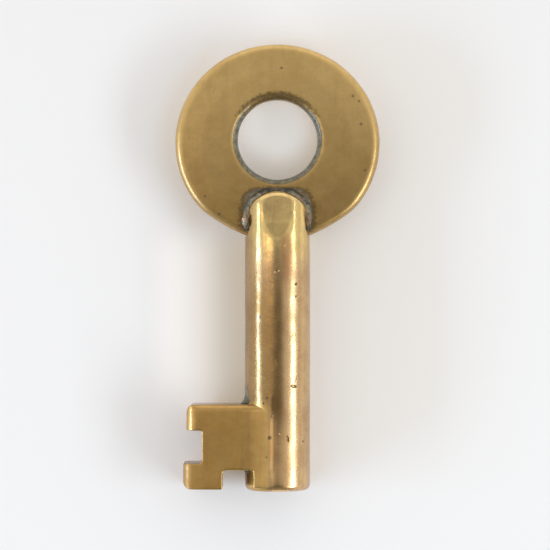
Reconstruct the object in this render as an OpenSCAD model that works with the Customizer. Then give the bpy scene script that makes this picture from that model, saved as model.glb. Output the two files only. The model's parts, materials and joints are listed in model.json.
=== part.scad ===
// Hollow-barrel switch key, brazed up from a flat oval bow, a drilled barrel and a bit.
// Millimetres. The key lies on its back: the barrel runs along Y, its bore opens towards -Y at the
// origin, the bow is at +Y, the bit points to -X and the front face looks up, towards +Z.

/* [Overall] */
// Length from the barrel's mouth to the top of the bow
key_len = 54; // [46:0.5:66]

/* [Bow] */
// Width of the bow, across the key
bow_w = 24.8; // [20:0.1:30]
// Height of the bow, along the key
bow_h = 24; // [19.5:0.1:29]
// Thickness of the bow
bow_t = 3.2; // [2.4:0.1:4]
// Rounding worn on both edges of the rim
rim_round = 1; // [0.4:0.1:1.1]
// Diameter of the ring hole at its waist
ring_hole_d = 9.54; // [7:0.02:11.4]
// Rounding of the ring hole towards both faces
hole_lip = 0.9; // [0.4:0.1:1.1]
// How far the ring hole sits above the middle of the bow
hole_rise = 0.4; // [0:0.1:1]

/* [Barrel] */
// Outside diameter of the barrel
barrel_d = 7.94; // [6.6:0.02:9.6]
// Diameter of the bore that takes the lock's post
bore_d = 4.8; // [3.6:0.1:5.8]
// Depth of the straight part of the bore
bore_depth = 22; // [14:0.5:26]
// Full angle of the drill point at the end of the bore
drill_point = 118; // [90:1:140]
// Rounding of the outer edge at the mouth
mouth_round = 0.8; // [0.2:0.1:1]
// Bow face left between the ring hole's lip and the end of the barrel
end_gap = 0.5; // [0.2:0.05:1]
// How far the flats filed on the barrel's upper end cut below its crest
pad_drop = 0.54; // [0.2:0.01:0.7]
// Length of each filed flat, down from the barrel's upper end
pad_len = 3.9; // [2:0.1:8]
// Angle between each filed flat and the barrel's axis
pad_lean = 1.7; // [0:0.1:4]
// Angle of the ramp that runs from the foot of each flat up to the crest
ramp_angle = 13.5; // [6:0.5:30]
// How far the bevel round the upper end reaches on to the filed flat
end_bevel = 0.6; // [0.3:0.05:0.8]
// Angle of that bevel, measured from the end's upright wall
end_bevel_angle = 32; // [25:1:50]

/* [Bit] */
// Reach of the lower tooth from the barrel's axis
bit_reach = 11.4; // [9.6:0.1:13.8]
// How much shorter the upper tooth is
upper_tooth_short = 0.4; // [0:0.1:1]
// Height of the bit, along the barrel
bit_h = 10.3; // [9:0.05:12.6]
// Thickness of the bit
bit_t = 6.35; // [5.2:0.05:6.6]
// How far the bit's lower edge sits above the barrel's mouth
bit_lift = 0.25; // [0:0.05:1]
// Rounding of the bit's edges
bit_edge = 0.4; // [0.2:0.05:0.6]
// Height of the lower tooth
lower_tooth_h = 3.2; // [2.6:0.1:4]
// Height of the cut in the bit's outer edge
side_cut_h = 3.9; // [3:0.1:4.8]
// Depth of the cut in the bit's outer edge
side_cut_depth = 2.3; // [1.2:0.1:2.8]
// Width of the lower tooth
lower_tooth_w = 4.8; // [3.8:0.1:5.2]
// Depth of the cut in the bit's lower end, next to the barrel
end_cut_depth = 2.3; // [1.6:0.1:3]
// Width of the slant that wear has left on the outer end of the lower tooth
worn_end_w = 0.95; // [0.6:0.05:1.2]
// Angle of that slant from the bit's face
worn_end_angle = 36; // [25:1:45]
// Depth of the slot in the barrel's wall that takes the bit's tongue
tongue_depth = 0.8; // [0.4:0.1:0.9]
// Thickness of the bit's tongue
tongue_t = 3; // [2:0.1:4]

/* [Braze] */
// Width of the braze on the bow's face, beside the barrel
bow_seam_w = 0.75; // [0.4:0.05:1.2]
// Height of the braze on the bow's face
bow_seam_h = 0.8; // [0.4:0.05:0.9]
// Radius of the hollow fillet that runs from the bit's faces up on to the barrel
bit_fillet_r = 10; // [2:0.5:14]
// Reach of the beads in the corners between the barrel's side and the bit's ends
bead = 0.7; // [0.4:0.05:1]
// Height of the upper bead, along the barrel
upper_bead_h = 1.9; // [0.6:0.1:2.4]

/* [Hidden] */
$fn = 64;

BRASS = "#a9854a";
BARREL_BRASS = "#b48c56";
SEAM_GREY = "#5f6355";

// Spare length that takes a cutter clear of what it cuts
clear = 1;
// Points to each curve of a braze section
curve_steps = 5;
// Points to the long hollow curve of the fillet on the bit
fillet_steps = 8;
// Thickness that the fillet keeps where it runs out on the bit and on the barrel
feather = 0.05;

bow_y = key_len - bow_h / 2;
hole_r = ring_hole_d / 2;
hole_y = bow_y + hole_rise;
// The oval is four tangent quarter arcs: their centres lie this far from the middle
arc_shift = (bow_w - bow_h) / 2 / (2 - sqrt(2));
side_arc_r = bow_w / 2 - arc_shift;
end_arc_r = bow_h / 2 + arc_shift;

barrel_r = barrel_d / 2;
bore_r = bore_d / 2;
pad_z = barrel_r - pad_drop;
// The barrel ends just short of the ring hole's lip, rounded in plan to its own radius
end_y = hole_y - hole_r - hole_lip - end_gap;
nose_y = end_y - barrel_r;

bit_y0 = bit_lift;
bit_y1 = bit_lift + bit_h;
side_cut_y0 = bit_y0 + lower_tooth_h;
side_cut_y1 = side_cut_y0 + side_cut_h;
end_cut_y = bit_y0 + end_cut_depth;
// The tongue stops this far short of both ends of the bit's root
tongue_margin = 0.8;
tongue_y0 = end_cut_y + tongue_margin;
tongue_y1 = bit_y1 - tongue_margin;

// Points of a rounded outside corner, a quarter turn from angle a
function corner(x, y, r, a) =
    [for (i = [0 : curve_steps]) let (t = a + 90 * i / curve_steps) [x + r * cos(t), y + r * sin(t)]];

// Points of a hollow fillet in the corner at (x, y), from w along x to h along y
function fillet(x, y, w, h) =
    [for (i = [0 : curve_steps]) let (t = 90 * i / curve_steps) [x + w * (1 - sin(t)), y + h * (1 - cos(t))]];

// Lays a shape that stands on the XY plane along the barrel's axis, starting at y
module along_y(y = 0) {
    translate([0, y, 0]) rotate([-90, 0, 0]) children();
}

module both_faces() {
    children();
    mirror([0, 0, 1]) children();
}

// Half of the bow in section, out to radius r: flat faces and a rounded rim
module rim_section(r) {
    waist = bow_t - 2 * rim_round;
    translate([0, -bow_t / 2]) square([r - rim_round, bow_t]);
    translate([0, -waist / 2]) square([r, waist]);
    for (side = [-1, 1]) translate([r - rim_round, side * waist / 2]) circle(r = rim_round);
}

// Turns a half section a quarter round the centre of its own arc, looking towards angle a
module bow_quarter(shift, a) {
    rotate([0, 0, a]) translate([shift, 0, 0]) rotate([0, 0, -45]) rotate_extrude(angle = 90) children();
}

// The bow before its hole is cut
module bow_blank() {
    translate([0, bow_y, 0]) for (half = [0, 180]) {
        bow_quarter(arc_shift, half) rim_section(side_arc_r);
        bow_quarter(-arc_shift, half + 90) rim_section(end_arc_r);
    }
}

// A block of height h with the bow's outline, drawn in by inset
module bow_block(inset, h) {
    translate([0, bow_y, 0]) for (half = [0, 180]) {
        bow_quarter(arc_shift, half) square([side_arc_r - inset, h]);
        bow_quarter(-arc_shift, half + 90) square([end_arc_r - inset, h]);
    }
}

// Half of the ring hole in section: a straight waist and a lip that opens towards both faces
module hole_section() {
    lip_y = bow_t / 2 - hole_lip;
    difference() {
        translate([0, -bow_t]) square([hole_r + hole_lip, 2 * bow_t]);
        translate([hole_r, -lip_y]) square([2 * hole_lip, 2 * lip_y]);
        for (side = [-1, 1]) translate([hole_r + hole_lip, side * lip_y]) circle(r = hole_lip);
    }
}

module bow() {
    color(BRASS) difference() {
        bow_blank();
        translate([0, hole_y, 0]) rotate_extrude() hole_section();
    }
}

// Everything that the barrel's upper end may fill: rounded in plan, bevelled towards both faces
module end_form() {
    top = barrel_r + clear;
    wall_z = pad_z - end_bevel / tan(end_bevel_angle);
    lean = (top - wall_z) * tan(end_bevel_angle);
    translate([0, nose_y, 0]) rotate_extrude()
        polygon([
            [0, -top], [barrel_r - lean, -top], [barrel_r, -wall_z],
            [barrel_r, wall_z], [barrel_r - lean, top], [0, top]
        ]);
    translate([-top, -clear, -top]) cube([2 * top, nose_y + clear, 2 * top]);
}

// Half of the barrel in section, with its outer edge rounded at the mouth
module barrel_section() {
    square([barrel_r - mouth_round, end_y]);
    translate([0, mouth_round]) square([barrel_r, end_y - mouth_round]);
    translate([barrel_r - mouth_round, mouth_round]) circle(r = mouth_round);
}

// What filing takes off one face at the barrel's upper end: a shallow flat with a short ramp at its foot
module flat_cut() {
    foot_y = end_y - pad_len;
    foot_drop = pad_drop - pad_len * tan(pad_lean);
    rotate([90, 0, 90]) linear_extrude(barrel_d + 2 * clear, center = true) polygon([
        [foot_y - (foot_drop + clear) / tan(ramp_angle), barrel_r + clear],
        [foot_y, barrel_r - foot_drop],
        [end_y + clear, barrel_r - pad_drop - clear * tan(pad_lean)],
        [end_y + clear, barrel_r + clear]
    ]);
}

// The barrel's outside, before it is drilled and slotted
module barrel_form() {
    difference() {
        intersection() {
            along_y() rotate_extrude() barrel_section();
            end_form();
        }
        both_faces() flat_cut();
    }
}

module bore() {
    along_y(-clear) cylinder(r = bore_r, h = bore_depth + clear);
    along_y(bore_depth) cylinder(r1 = bore_r, r2 = 0, h = bore_r / tan(drill_point / 2));
}

// The bit's tongue, and the slot in the barrel's wall that it fills
module tongue() {
    translate([-barrel_d, tongue_y0, -tongue_t / 2])
        cube([barrel_r + tongue_depth, tongue_y1 - tongue_y0, tongue_t]);
}

module barrel() {
    color(BARREL_BRASS) difference() {
        barrel_form();
        bore();
        bow_blank();
        tongue();
    }
}

// The bit seen from the front, drawn in by the rounding that its edges get
module bit_outline() {
    e = bit_edge;
    upper_x = upper_tooth_short - bit_reach;
    cut_x = side_cut_depth - bit_reach;
    inner_x = lower_tooth_w - bit_reach;
    polygon(concat(
        [[0, bit_y1 - e]],
        corner(upper_x + 2 * e, bit_y1 - 2 * e, e, 90),
        [[upper_x + e, side_cut_y1 + e], [cut_x + e, side_cut_y1 + e]],
        [[cut_x + e, side_cut_y0 - e], [e - bit_reach, side_cut_y0 - e]],
        corner(2 * e - bit_reach, bit_y0 + 2 * e, e, 180),
        [[inner_x - e, bit_y0 + e], [inner_x - e, end_cut_y + e], [0, end_cut_y + e]]
    ));
}

// Cuts the worn slant off the outer ends of both teeth, on the front face
module worn_end() {
    translate([worn_end_w - bit_reach, -clear, bit_t / 2]) rotate([0, -worn_end_angle, 0])
        translate([-bit_reach, 0, 0]) cube([bit_reach, bit_y1 + 2 * clear, bit_t]);
}

module bit() {
    seat_len = bit_y1 + 2 * clear;
    color(BRASS) {
        difference() {
            minkowski() {
                linear_extrude(bit_t - 2 * bit_edge, center = true) bit_outline();
                sphere(r = bit_edge, $fn = 20);
            }
            along_y(-clear) cylinder(r = barrel_r, h = seat_len);
            both_faces() worn_end();
        }
        intersection() {
            tongue();
            along_y(-clear) cylinder(r = barrel_r, h = seat_len);
        }
    }
}

// The braze on the bow in section: a bank that leans on the barrel, with its foot sunk below the
// bow's face so that it can follow the rim down
module bow_seam_section() {
    face_z = bow_t / 2;
    top_z = face_z + bow_seam_h;
    top_x = sqrt(pow(barrel_r, 2) - pow(top_z, 2));
    foot_x = barrel_r + bow_seam_w;
    foot_z = face_z - rim_round / 2;
    root_x = top_x - clear / 2;
    polygon([[root_x, foot_z], [foot_x, foot_z], [foot_x, face_z], [top_x, top_z], [root_x, top_z]]);
}

// The bank of braze on one face of the bow: round the barrel's end and down both sides to the rim
module bow_seam() {
    difference() {
        intersection() {
            union() {
                translate([0, nose_y, 0]) rotate_extrude(angle = 180) bow_seam_section();
                for (side = [0, 1]) mirror([side, 0, 0]) translate([0, nose_y, 0]) rotate([90, 0, 0])
                    linear_extrude(bow_h) bow_seam_section();
            }
            bow_block(rim_round / 2, bow_t / 2 + barrel_r);
        }
        barrel_form();
        bow_blank();
        translate([0, hole_y, 0]) cylinder(r = hole_r + hole_lip, h = 2 * bow_t);
    }
}

module bow_braze_front() {
    color(SEAM_GREY) bow_seam();
}

module bow_braze_back() {
    color(SEAM_GREY) mirror([0, 0, 1]) bow_seam();
}

// The braze that carries one face of the bit up on to the barrel: a fillet that touches both
module bit_seam() {
    face_z = bit_t / 2;
    centre_z = face_z + bit_fillet_r;
    // The angle, at the fillet's centre, between the bit's face and the barrel
    sweep = acos(centre_z / (barrel_r + bit_fillet_r));
    centre_x = -(barrel_r + bit_fillet_r) * sin(sweep);
    arc_r = bit_fillet_r - feather;
    y0 = end_cut_y + bit_edge;
    y1 = bit_y1 - bit_edge;
    difference() {
        translate([0, y1, 0]) rotate([90, 0, 0]) linear_extrude(y1 - y0)
            polygon(concat(
                [[centre_x, face_z]],
                [for (i = [0 : fillet_steps]) let (t = sweep * i / fillet_steps)
                    [centre_x + arc_r * sin(t), centre_z - arc_r * cos(t)]],
                [[-barrel_r * sin(sweep), barrel_r * cos(sweep)], [-barrel_r * sin(sweep), face_z]]
            ));
        along_y(-clear) cylinder(r = barrel_r, h = bit_y1 + 2 * clear);
    }
}

module bit_braze_front() {
    color(BRASS) bit_seam();
}

module bit_braze_back() {
    color(BRASS) mirror([0, 0, 1]) bit_seam();
}

// A bead that banks up in the corner between the barrel's side and one end of the bit's root
module root_bead(h) {
    half = asin((bit_t / 2 - bit_edge) / barrel_r);
    along_y() rotate([0, 0, 180 - half]) rotate_extrude(angle = 2 * half)
        polygon(concat([[barrel_r, 0]], fillet(barrel_r, 0, bead, h)));
}

module bit_braze_corners() {
    color(SEAM_GREY) {
        translate([0, bit_y1, 0]) root_bead(upper_bead_h);
        translate([0, end_cut_y, 0]) mirror([0, 1, 0]) root_bead(bead);
    }
}

bow();
barrel();
bit();
bow_braze_front();
bow_braze_back();
bit_braze_front();
bit_braze_back();
bit_braze_corners();
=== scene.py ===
# %% [markdown]
# # An old brass switch key
#
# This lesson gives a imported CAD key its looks. The key is a hollow-barrel switch key: a flat ring for a
# bow, a drilled round barrel and a thick warded bit, brazed together and then carried in pockets for
# decades. The CAD model holds the true sizes. Here every piece is modelled again with the softness that
# casting, filing and wear give it, and then it gets its metal.
#
# We start by loading the CAD model as a fixed frame. It tells us where each piece goes, so nothing has
# to be fitted by eye.

# %% Load the frame
import json
import math

import bpy
import numpy as np
from mathutils import Matrix, Vector


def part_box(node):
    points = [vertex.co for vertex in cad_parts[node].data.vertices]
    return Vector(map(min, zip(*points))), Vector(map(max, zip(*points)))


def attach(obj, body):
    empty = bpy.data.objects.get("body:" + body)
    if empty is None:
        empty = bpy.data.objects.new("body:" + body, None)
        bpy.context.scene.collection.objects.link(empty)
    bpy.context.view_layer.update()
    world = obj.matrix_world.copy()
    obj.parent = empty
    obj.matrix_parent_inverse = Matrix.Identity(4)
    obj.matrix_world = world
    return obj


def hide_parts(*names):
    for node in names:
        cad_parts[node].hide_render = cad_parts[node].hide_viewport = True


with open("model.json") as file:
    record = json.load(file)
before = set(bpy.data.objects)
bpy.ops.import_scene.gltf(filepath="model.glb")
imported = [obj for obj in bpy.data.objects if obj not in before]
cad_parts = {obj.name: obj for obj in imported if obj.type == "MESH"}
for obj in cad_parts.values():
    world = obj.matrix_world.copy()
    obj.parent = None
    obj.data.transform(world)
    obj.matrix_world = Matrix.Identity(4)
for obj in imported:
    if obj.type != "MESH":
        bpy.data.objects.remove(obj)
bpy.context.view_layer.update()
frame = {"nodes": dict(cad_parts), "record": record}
record = frame["record"]
print("CAD nodes:", sorted(frame["nodes"]))

# %% [markdown]
# ## Sizes from the frame
#
# A toolmaker works on this key in millimetres, and several of Blender's operators have thresholds that
# suit sizes near 1. So each piece is modelled in millimetres and shrunk to metres when it is finished.
# The sizes come from the boxes of the CAD nodes and from the mounts in the record.

# %% Read the key's sizes, in millimetres
METRE = 0.001


def box_mm(node):
    """The lowest and highest corners of a CAD node, in millimetres."""
    low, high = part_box(node)
    return low / METRE, high / METRE


mounts = {m["name"]: m for m in record["mounts"]}
bow_low, bow_high = box_mm("bow")
_, barrel_high = box_mm("barrel")
bit_low, bit_high = box_mm("bit")
BOW_W = bow_high.x - bow_low.x
BOW_H = bow_high.y - bow_low.y
BOW_T = bow_high.z - bow_low.z
BOW_Y = (bow_low.y + bow_high.y) / 2
HOLE_R = mounts["ring_hole"]["dims"]["r_mm"]
HOLE_Y = mounts["ring_hole"]["pos_m"][1] / METRE
BARREL_R = barrel_high.x
BARREL_TOP = barrel_high.y
NOSE_Y = BARREL_TOP - BARREL_R
BORE_R = mounts["barrel_bore"]["dims"]["r_mm"]
BORE_DEPTH = mounts["barrel_bore"]["dims"]["length_mm"]
BIT_T = bit_high.z - bit_low.z
print(f"bow {BOW_W:.2f} x {BOW_H:.2f} x {BOW_T:.2f} mm")
print(f"barrel radius {BARREL_R:.2f} mm, top at {BARREL_TOP:.2f} mm")

# %% [markdown]
# ## A few bench tools
#
# `bpy.ops` works on whatever is selected, so a small helper makes one object the only one selected.
# Each primitive is added at its size and place with everything else deselected, and its place goes into
# its mesh at once. A modifier that is finished is applied at once too. `edit_pick` selects faces or edges
# by a test on their place, which is what you do by eye in the viewport. `round_edges` bevels the edges
# that it picks, and `slice_off` saws off all that lies beyond a plane.

# %% Start, select, apply and cut
cylinder = bpy.ops.mesh.primitive_cylinder_add
cube = bpy.ops.mesh.primitive_cube_add
ball = bpy.ops.mesh.primitive_uv_sphere_add


def only(piece):
    """Makes one object the active one, with nothing else selected."""
    bpy.ops.object.select_all(action="DESELECT")
    piece.select_set(True)
    bpy.context.view_layer.objects.active = piece
    return piece


def start_piece(name, primitive, **where):
    """Adds a primitive at its size and place, names it and puts its place into its mesh."""
    bpy.ops.object.select_all(action="DESELECT")
    primitive(**where)
    piece = bpy.context.object
    piece.name = name
    piece.data.name = name
    bpy.ops.object.transform_apply(location=True, rotation=True, scale=True)
    return piece


def apply_modifier(piece, kind, **settings):
    """Adds a modifier, sets it up and applies it."""
    only(piece)
    modifier = piece.modifiers.new(kind.lower(), kind)
    for key, value in settings.items():
        setattr(modifier, key, value)
    bpy.ops.object.modifier_apply(modifier=modifier.name)
    return piece


def cut(piece, tool, operation="DIFFERENCE", solver="EXACT"):
    """Cuts a piece with a tool, or joins or crosses them, and throws the tool away."""
    apply_modifier(piece, "BOOLEAN", operation=operation, solver=solver, object=tool)
    bpy.data.objects.remove(tool)
    return piece


# %% Pick, round and slice
NEAR = 0.01  # millimetres: places that lie closer than this count as one


def edit_pick(piece, kind, test):
    """Goes into edit mode with the faces or edges selected that pass a test on their place."""
    if bpy.context.mode != "OBJECT":
        bpy.ops.object.mode_set(mode="OBJECT")
    only(piece)
    bpy.context.tool_settings.mesh_select_mode = (False, kind == "EDGE", kind == "FACE")
    mesh = piece.data
    for group in (mesh.vertices, mesh.edges, mesh.polygons):
        group.foreach_set("select", [False] * len(group))
    if kind == "FACE":
        for face in mesh.polygons:
            face.select = test(face.center, face.normal)
    else:
        for edge in mesh.edges:
            a, b = (mesh.vertices[i].co for i in edge.vertices)
            edge.select = test(a, b)
    bpy.ops.object.mode_set(mode="EDIT")


def edit_done():
    """Leaves edit mode."""
    bpy.ops.object.mode_set(mode="OBJECT")


def round_edges(piece, test, width, segments=8):
    """Bevels the edges that pass a test on the places of their two ends."""
    edit_pick(piece, "EDGE", test)
    bpy.ops.mesh.bevel(offset=width, segments=segments, profile=0.5, affect="EDGES")
    edit_done()


def slice_off(piece, point, outward):
    """Cuts off everything beyond a plane."""
    edit_pick(piece, "FACE", lambda centre, normal: True)
    flat = Vector(outward).normalized()
    bpy.ops.mesh.bisect(plane_co=point, plane_no=flat, use_fill=True, clear_outer=True)
    edit_done()


# %% [markdown]
# ## Worn metal
#
# The key was cast, filed and then rubbed smooth. No edge is sharp and no face is quite flat. Voxel
# remesh melts a piece into small even faces, the Smooth modifier rounds all edges by the same amount,
# and a Displace modifier with a cloud texture adds the slow swell of a sand casting. All pieces share
# one origin, so the swell runs on from one piece to the next, and it only ever takes metal away.

# %% Soften a piece
swell = bpy.data.textures.new("casting swell", "CLOUDS")
swell.noise_scale = 3.4
swell.noise_depth = 1
SWELL_MM = 0.07
SWELL_LEVEL = 0.9  # the texture's level that moves nothing; almost all of it lies lower


def wear_down(piece, voxel, rounds):
    """Melts a piece into even faces, rounds its edges and gives it a casting's slow swell."""
    apply_modifier(piece, "REMESH", mode="VOXEL", voxel_size=voxel)
    apply_modifier(piece, "SMOOTH", factor=0.5, iterations=rounds)
    apply_modifier(
        piece, "DISPLACE", texture=swell, texture_coords="LOCAL", strength=SWELL_MM, mid_level=SWELL_LEVEL
    )
    print(f"{piece.name}: {len(piece.data.polygons)} faces")
    return piece


# %% [markdown]
# ## The bow
#
# The bow is a flat brass ring, a little wider than it is tall. Its faces fall away slightly towards the
# rim, which is rounded by wear, and its hole opens towards both faces with a soft lip. On both sides of
# the barrel the rim runs a little flatter than a true oval. A lathe shape would come out round, so we
# start from a cylinder that is squeezed into the oval. A proportional move flattens the rim, inset and
# move crown the faces, bevels round the rim, a second cylinder cuts the hole, and another bevel makes
# the lip.

# %% The bow's blank
RIM_ROUND = 1.0
CROWN = 0.16
CROWN_WIDE = 3.4
FLAT_TURN = math.radians(62)
FLAT_DEEP = 0.3
FLAT_WIDE = 5.0


def is_level(a, b):
    """An edge that lies in a flat face."""
    return abs(a.z - b.z) < NEAR


def make_blank(name, crown=0.0, grow=0.0):
    """The oval disc that the bow is cut from. Flat and grown a little, it also cuts the barrel's slot."""
    radius = BOW_W / 2 + grow
    blank = start_piece(name, cylinder, vertices=192, radius=radius, depth=BOW_T + 2 * (grow - crown))
    for side in (1, -1):
        outward = Vector((side * math.cos(FLAT_TURN), -math.sin(FLAT_TURN), 0))
        edit_pick(
            blank, "EDGE",
            lambda a, b, outward=outward: a.z * b.z < 0 and a.dot(outward) > radius - NEAR,
        )
        bpy.ops.transform.translate(
            value=-FLAT_DEEP * outward, use_proportional_edit=True,
            proportional_edit_falloff="SMOOTH", proportional_size=FLAT_WIDE,
        )
    round_edges(blank, is_level, RIM_ROUND)
    for side in (1, -1):
        edit_pick(blank, "FACE", lambda centre, _, side=side: centre.z * side > 0 and centre.xy.length < 2)
        bpy.ops.mesh.inset(thickness=CROWN_WIDE - RIM_ROUND)
        bpy.ops.transform.translate(value=(0, 0, side * crown))
    bpy.ops.mesh.select_all(action="SELECT")
    bpy.ops.transform.resize(value=(1, BOW_H / BOW_W, 1))
    bpy.ops.transform.translate(value=(0, BOW_Y, 0))
    edit_done()
    return blank


bow = make_blank("worn_bow", crown=CROWN)
print("bow blank", len(bow.data.polygons), "faces")

# %% The ring hole and its lip
LIP = 1.05


def is_hole_edge(a, b):
    """A level edge on the rim of the ring hole."""
    reach = [math.hypot(p.x, p.y - HOLE_Y) for p in (a, b)]
    return is_level(a, b) and max(reach) < HOLE_R + 0.1


hole_drill = start_piece(
    "hole_drill", cylinder, vertices=128, radius=HOLE_R, depth=2 * BOW_T, location=(0, HOLE_Y, 0)
)
cut(bow, hole_drill)
round_edges(bow, is_hole_edge, LIP)
wear_down(bow, voxel=0.12, rounds=8)

# %% [markdown]
# ## The barrel
#
# The barrel is a round brass bar. Its lower end is drilled for the lock's pin. Its upper end straddles
# the bow: it is rounded in plan, filed flat on both faces and bevelled all round. Each flat leans a
# little, runs 3.9 mm down the barrel and ends in a short ramp. A cylinder gives the bar. A block that is
# sliced along the flat and the ramp takes away what the file took, and an upright form that has the
# end's outline trims the rest.

# %% The bar with its two filed flats
ALONG_Y = (-math.pi / 2, 0, 0)
MOUTH_ROUND = 0.8
FILED_DROP = 0.54  # how far the flat's upper end lies below the crest
FILED_LEN = 3.9
FILED_LEAN = math.radians(1.7)
RAMP_ANGLE = math.radians(13.5)


def add_rod(name, radius, y_low, y_high, x=0.0, z=0.0, vertices=128):
    """A round rod that lies along the key."""
    return start_piece(
        name, cylinder, vertices=vertices, radius=radius, depth=y_high - y_low,
        location=(x, (y_low + y_high) / 2, z), rotation=ALONG_Y,
    )


def add_block(name, low, high):
    """A plain block between two corners."""
    low, high = Vector(low), Vector(high)
    return start_piece(name, cube, size=1, location=(low + high) / 2, scale=high - low)


barrel = add_rod("worn_barrel", BARREL_R, 0, BARREL_TOP)
round_edges(barrel, lambda a, b: max(a.y, b.y) < NEAR, MOUTH_ROUND)
foot_z = BARREL_R - FILED_DROP + FILED_LEN * math.tan(FILED_LEAN)
for side in (1, -1):
    z_low, z_high = sorted((side * 2, side * 6))
    filed_away = add_block("filed_away", (-6, BARREL_TOP - 8, z_low), (6, BARREL_TOP + 4, z_high))
    for lean in (FILED_LEAN, RAMP_ANGLE):
        foot = (0, BARREL_TOP - FILED_LEN, side * foot_z)
        slice_off(filed_away, foot, (0, -math.sin(lean), -side * math.cos(lean)))
    cut(barrel, filed_away)
print("bar", len(barrel.data.polygons), "faces")

# %% [markdown]
# The trimming form stands upright like a biscuit cutter. Its middle has straight walls. Each end is
# extruded and drawn in three times, steep at first and then flatter. That gives the filed edge that
# meets the flat in an arch.

# %% The upright form that trims the upper end
# Each step: how far the form draws in, and how far it rises, in millimetres
END_STEPS = ((0.12, 0.54), (0.48, 0.42), (0.90, 0.30))
wall_z = BARREL_R - FILED_DROP - END_STEPS[0][1] - END_STEPS[1][1]
end_form = start_piece(
    "end_form", cylinder, vertices=128, radius=BARREL_R, depth=2 * wall_z, location=(0, NOSE_Y, 0)
)
for side in (1, -1):
    edit_pick(end_form, "FACE", lambda centre, normal, side=side: normal.z * side > 0.9)
    radius = BARREL_R
    for draw_in, rise in END_STEPS:
        bpy.ops.mesh.extrude_region_move(TRANSFORM_OT_translate={"value": (0, 0, side * rise)})
        shrink = (radius - draw_in) / radius
        bpy.ops.transform.resize(value=(shrink, shrink, 1), center_override=(0, NOSE_Y, 0))
        radius -= draw_in
edit_done()
cut(end_form, add_block("shank_form", (-6, -2, -6), (6, NOSE_Y, 6)), "UNION")
cut(barrel, end_form, "INTERSECT")
print("trimmed bar", len(barrel.data.polygons), "faces")

# %% [markdown]
# The bore is a drilled hole, so it ends in the point of a drill. The slot has the bow's own outline, a
# hundredth of a millimetre larger, and a second, narrow slot takes the tongue of the bit.

# %% The bore, the slot for the bow and the slot for the bit's tongue
DRILL_POINT = math.radians(118)
SLOT_PLAY = 0.01
TONGUE_T = 3.0
TONGUE_DEEP = 0.8
TONGUE_Y = (3.35, 9.75)


def tongue_block(name, outer_x):
    """The block that fills, or cuts, the slot in the barrel's wall for the bit."""
    inner_x = TONGUE_DEEP - BARREL_R
    half = TONGUE_T / 2
    return add_block(name, (outer_x, TONGUE_Y[0], -half), (inner_x, TONGUE_Y[1], half))


drill = add_rod("drill", BORE_R, -2, BORE_DEPTH, vertices=96)
edit_pick(drill, "FACE", lambda centre, normal: normal.y > 0.9)
point = (0, BORE_R / math.tan(DRILL_POINT / 2), 0)
bpy.ops.mesh.extrude_region_move(TRANSFORM_OT_translate={"value": point})
bpy.ops.mesh.merge(type="CENTER")
edit_done()
cut(barrel, drill)
cut(barrel, make_blank("slot_cutter", grow=SLOT_PLAY))
cut(barrel, tongue_block("tongue_cutter", -2 * BARREL_R))
print("drilled bar", len(barrel.data.polygons), "faces")

# %% [markdown]
# The braze of the bit was dressed flush with the barrel, and where the file stopped it left a low ridge
# that runs along the crest. A thin rod, sunk into the metal until only its back shows, makes that ridge.

# %% The ridge on the crest
RIDGE_X = -0.67
RIDGE_Y = (2.6, 11.6)
RIDGE_R = 0.5
RIDGE_HIGH = 0.05
ridge_reach = BARREL_R - RIDGE_R + RIDGE_HIGH
ridge_z = math.sqrt(ridge_reach**2 - RIDGE_X**2)
for side in (1, -1):
    ridge = add_rod("ridge", RIDGE_R, *RIDGE_Y, x=RIDGE_X, z=side * ridge_z, vertices=48)
    cut(barrel, ridge, "UNION")
wear_down(barrel, voxel=0.125, rounds=6)

# %% [markdown]
# The flats were filed first and then handled for years, so their long edges are softer than the rest,
# and their feet run out into the round of the barrel. A vertex group holds each of these two stretches,
# and a second smoothing works on that group only.

# %% Rub the edges and the feet of the flats
RUBBED_X = 2.9
RUBBED_Y = (26.5, 35.0)
FOOT_X = 2.4
FOOT_Y = (29.6, 33.6)


def rub(piece, half_width, ends, rounds):
    """Smooths one stretch of the barrel's front and back a second time."""
    group = piece.vertex_groups.new(name="rubbed")
    for vertex in piece.data.vertices:
        x, y, z = vertex.co
        if abs(x) < half_width and abs(z) > BORE_R and ends[0] < y < ends[1]:
            group.add([vertex.index], 1.0, "REPLACE")
    apply_modifier(piece, "SMOOTH", factor=0.5, iterations=rounds, vertex_group=group.name)
    piece.vertex_groups.clear()


rub(barrel, RUBBED_X, RUBBED_Y, rounds=5)
rub(barrel, FOOT_X, FOOT_Y, rounds=30)

# %% [markdown]
# ## The bit
#
# The bit is a thick block with two cuts that let it pass the lock's wards. Between the cuts stand two
# teeth, the lower one longer. Each tooth is a plain block of its own with rounded corners, because years
# of pockets and locks wore the outer ends round on both faces. The two are joined, smaller blocks cut
# the wards, and the barrel's own radius makes the saddle that seats on the barrel.

# %% The block and its two ward cuts
CORNER_ROUND = 1.0
NOTCH_ROUND = 0.35
UPPER_TOOTH_X = bit_low.x + 0.4
SIDE_CUT_X = bit_low.x + 2.3
SIDE_CUT_Y = (3.45, 7.35)
END_CUT_X = bit_low.x + 4.8
END_CUT_Y = 2.55
TOP_ROUND = 0.7
TOOTH_LAP = 0.1
WORN_R = 1.25
WORN_TURNS = [math.radians(turn) for turn in (12, 30, 48, 66, 82)]


def is_outer_corner(a, b):
    """An upright edge on the outside of a tooth, at the bit's lower or upper end."""
    upright = abs(a.z - b.z) > BIT_T / 2
    at_end = a.y < bit_low.y + 0.05 or a.y > bit_high.y - 0.05
    return upright and at_end and a.x < END_CUT_X - 1


def is_top_edge(a, b):
    """A level edge at the bit's upper end."""
    return is_level(a, b) and min(a.y, b.y) > bit_high.y - 0.05


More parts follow.
